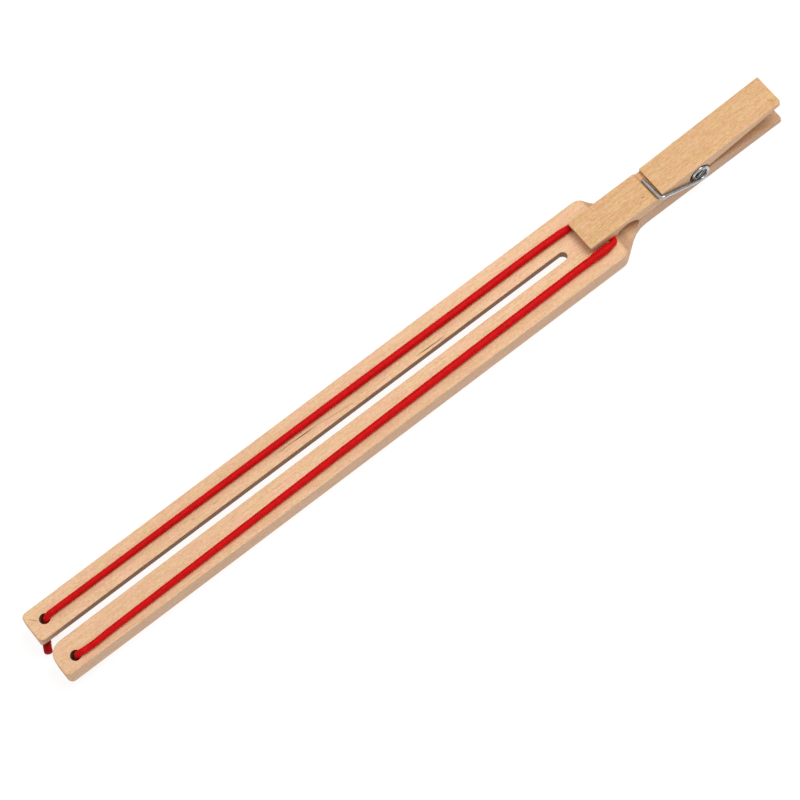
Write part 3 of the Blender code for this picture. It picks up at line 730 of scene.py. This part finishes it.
def make_camera():
    """The camera looks down at the plank from over its right side, a little turned and rolled."""
    azimuth, elevation, roll = math.radians(-19.8), math.radians(65.0), math.radians(-18.9)
    distance, sensor_width, focal_length = 1.221, 36.0, 175.275  # metres, then millimetres
    back = Vector(
        (
            math.sin(azimuth) * math.cos(elevation),
            -math.cos(azimuth) * math.cos(elevation),
            math.sin(elevation),
        )
    )
    target = Vector((0.13497, -0.00589, 0.0065))
    right = (-back).cross(Vector((0, 0, 1))).normalized()
    up = right.cross(-back)
    across = right * math.cos(roll) + up * math.sin(roll)
    upward = -right * math.sin(roll) + up * math.cos(roll)
    axes = Matrix((across, upward, back)).transposed().to_4x4()
    data = bpy.data.cameras.new("camera")
    data.sensor_width, data.lens = sensor_width, focal_length
    data.clip_start, data.clip_end = 0.01, 20
    camera = bpy.data.objects.new("camera", data)
    camera.matrix_world = FRAME_MATRIX @ Matrix.Translation(target + back * distance) @ axes
    bpy.context.scene.collection.objects.link(camera)
    bpy.context.scene.camera = camera


def dress(node, material):
    """Gives a CAD piece its material, and shading that is smooth round curves and flat on flat faces."""
    node.data.set_sharp_from_angle(angle=math.radians(20))
    node.data.materials.clear()
    node.data.materials.append(material)


BODY_MARKS = (  # from, to (station, y), half width, strength, tint
    ((0.0930, 0.0048), (0.1110, 0.0042), 0.00028, 1.0, "#5c3c1e"),
    ((0.1080, 0.0043), (0.1260, 0.0027), 0.00018, 0.55, "#8f6a44"),
    ((0.0680, 0.0042), (0.0712, 0.0037), 0.00022, 0.80, "#84643c"),
    ((0.1475, 0.0029), (0.1600, 0.0025), 0.00034, 1.0, "#6c4526"),
    ((0.0010, 0.0110), (0.0038, 0.0078), 0.00018, 0.85, "#b0603a"),
    ((0.0600, 0.0041), (0.0620, 0.0040), 0.00045, 0.40, "#a09058"),
)
LEVER_MARKS = (
    ((0.2349, -0.0019), (0.2366, -0.0026), 0.00022, 0.85, "#8a4a1c"),
    ((0.2330, -0.0034), (0.2341, -0.0037), 0.00022, 0.70, "#8a5020"),
    ((0.2863, -0.0018), (0.2882, -0.0040), 0.00035, 0.60, "#b5602a"),
)


def main():
    make_camera()
    make_stage()
    make_world()
    make_key_light()
    bpy.context.scene.view_settings.view_transform = "Standard"
    plank_wood = make_beech(
        "beech_plank", srgb("#f2cba7"), srgb("#deb188"), srgb("#b49587"), 3.0, BODY_MARKS, paint_recess_shade=True
    )
    lever_wood = make_beech(
        "beech_lever_wood", srgb("#e5bc90"), srgb("#d0a06f"), srgb("#cdad9b"), 17.0, LEVER_MARKS
    )
    dress(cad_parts["loom_body"], plank_wood)
    dress(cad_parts["clip_lever"], lever_wood)
    red = make_cord_red("cord_red_braid")
    cord, line = braided("cord_braid", lifted(cord_line()), run_radius, pinch=pinched)
    cord.data.materials.append(red)
    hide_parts("cord")
    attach(cord, "frame")
    left_tail = [(0.0030, 0.0058, -0.0028), (0.0019, 0.0043, -0.0026), (0.0003, 0.0010, -0.0027)]
    right_tail = [(0.0094, -0.0086, -0.0026), (0.0122, -0.0072, -0.0030)]
    # The knots' red is the cord's red made darker: painted shade for the knots under the plank
    shaded_knot_red = make_cord_red("cord_red_knots_shaded", shade_factor=0.62)
    knots = [
        make_knot("left", left_tail, turn=3.32, material=shaded_knot_red),
        make_knot("right", right_tail, turn=5.41, material=shaded_knot_red),
    ]
    make_spring(make_steel("spring_zinc"))


main()
bpy.context.view_layer.update()
